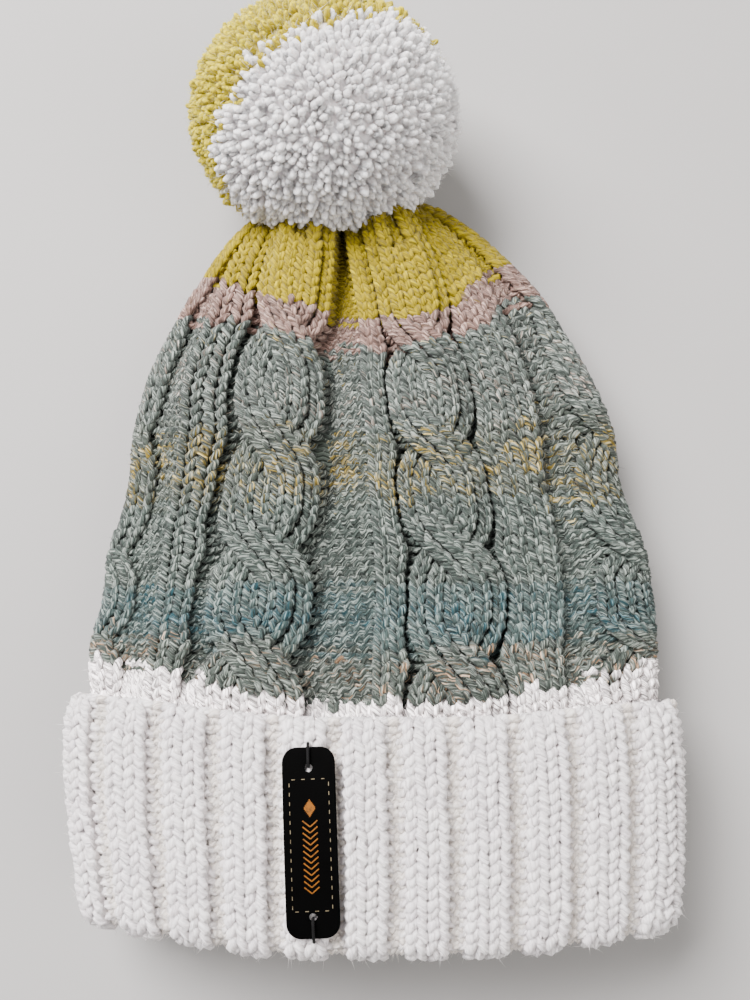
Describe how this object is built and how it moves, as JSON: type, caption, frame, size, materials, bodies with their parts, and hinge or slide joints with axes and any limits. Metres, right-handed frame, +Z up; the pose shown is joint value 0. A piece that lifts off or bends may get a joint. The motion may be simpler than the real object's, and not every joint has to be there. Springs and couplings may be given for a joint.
{
  "type": "bobble hat",
  "caption": "Hand-knitted cable beanie with a white ribbed turn-up cuff, a heathered grey-green crown with mustard at its top, a two-colour pompom and a black leatherette label.",
  "frame": {"origin": "centre of the lying hat's bounding box, on the surface that it rests on", "axes": "+Y from the mouth of the hat towards the pompom, +Z up through the front with the label, +X to the right as seen from above with the pompom at the top"},
  "size_m": [0.1924, 0.3036, 0.0752],
  "materials": {
    "crown": "matte",
    "cuff": "matte",
    "pompom_white": "matte",
    "pompom_yellow": "matte",
    "pompom_tie": "matte",
    "label": "satin",
    "label_tie_top": "matte",
    "label_tie_bottom": "matte"
  },
  "bodies": {
    "root": {"crown": "crown", "cuff": "cuff", "pompom_white": "pompom_white", "pompom_yellow": "pompom_yellow", "pompom_tie": "pompom_tie", "label": "label", "label_tie_top": "label_tie_top", "label_tie_bottom": "label_tie_bottom"}
  },
  "joints": []
}
